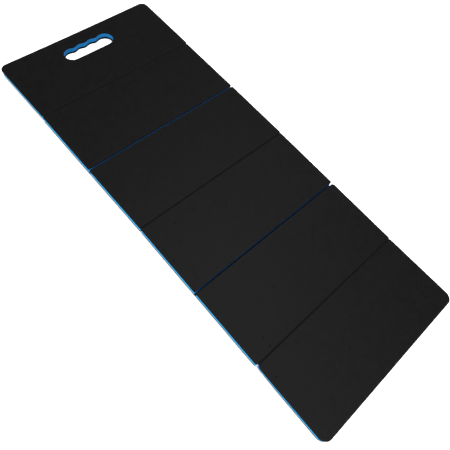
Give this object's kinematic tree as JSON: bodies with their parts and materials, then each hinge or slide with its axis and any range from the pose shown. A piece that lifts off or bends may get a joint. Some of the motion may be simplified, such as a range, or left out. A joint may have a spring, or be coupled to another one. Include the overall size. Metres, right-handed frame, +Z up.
{
  "type": "folding gym mat",
  "caption": "Concertina-folding foam exercise mat: dark foam skins over a blue foam core, with a finger-grip hand hole at one end.",
  "frame": {"origin": "middle of the underside of the open, flat mat", "axes": "+X along the mat from the hand-hole end to the plain end, +Y across the mat, +Z up out of the exercise surface"},
  "size_m": [1.4, 0.55, 0.025],
  "materials": {
    "skin_foam": "matte closed-cell foam, near black",
    "core_foam": "matte closed-cell foam, cut edge, blue"
  },
  "bodies": {
    "panel_1": {"panel_1_bottom_skin": "skin_foam", "panel_1_core": "core_foam", "panel_1_top_skin": "skin_foam"},
    "panel_2": {"panel_2_bottom_skin": "skin_foam", "panel_2_core": "core_foam", "panel_2_top_skin": "skin_foam", "fold_1_top_hinge_strip": "skin_foam"},
    "panel_3": {"panel_3_bottom_skin": "skin_foam", "panel_3_core": "core_foam", "panel_3_top_skin": "skin_foam", "fold_2_bottom_hinge_strip": "skin_foam"},
    "panel_4": {"panel_4_bottom_skin": "skin_foam", "panel_4_core": "core_foam", "panel_4_top_skin": "skin_foam", "fold_3_top_hinge_strip": "skin_foam"},
    "panel_5": {"panel_5_bottom_skin": "skin_foam", "panel_5_core": "core_foam", "panel_5_top_skin": "skin_foam", "fold_4_bottom_hinge_strip": "skin_foam"},
    "panel_6": {"panel_6_bottom_skin": "skin_foam", "panel_6_core": "core_foam", "panel_6_top_skin": "skin_foam", "fold_5_top_hinge_strip": "skin_foam"}
  },
  "joints": [
    {"name": "fold_5", "type": "hinge", "parent": "panel_6", "child": "panel_5", "pos_m": [0.46667, 0, 0.02525], "axis": [0, 1, 0], "range_deg": [0, 179], "deforming": ["fold_5_top_hinge_strip"]},
    {"name": "fold_4", "type": "hinge", "parent": "panel_5", "child": "panel_4", "pos_m": [0.23333, 0, -0.00025], "axis": [0, -1, 0], "range_deg": [0, 179], "deforming": ["fold_4_bottom_hinge_strip"]},
    {"name": "fold_3", "type": "hinge", "parent": "panel_4", "child": "panel_3", "pos_m": [0, 0, 0.02525], "axis": [0, 1, 0], "range_deg": [0, 179], "deforming": ["fold_3_top_hinge_strip"]},
    {"name": "fold_2", "type": "hinge", "parent": "panel_3", "child": "panel_2", "pos_m": [-0.23333, 0, -0.00025], "axis": [0, -1, 0], "range_deg": [0, 179], "deforming": ["fold_2_bottom_hinge_strip"]},
    {"name": "fold_1", "type": "hinge", "parent": "panel_2", "child": "panel_1", "pos_m": [-0.46667, 0, 0.02525], "axis": [0, 1, 0], "range_deg": [0, 179], "deforming": ["fold_1_top_hinge_strip"]}
  ]
}
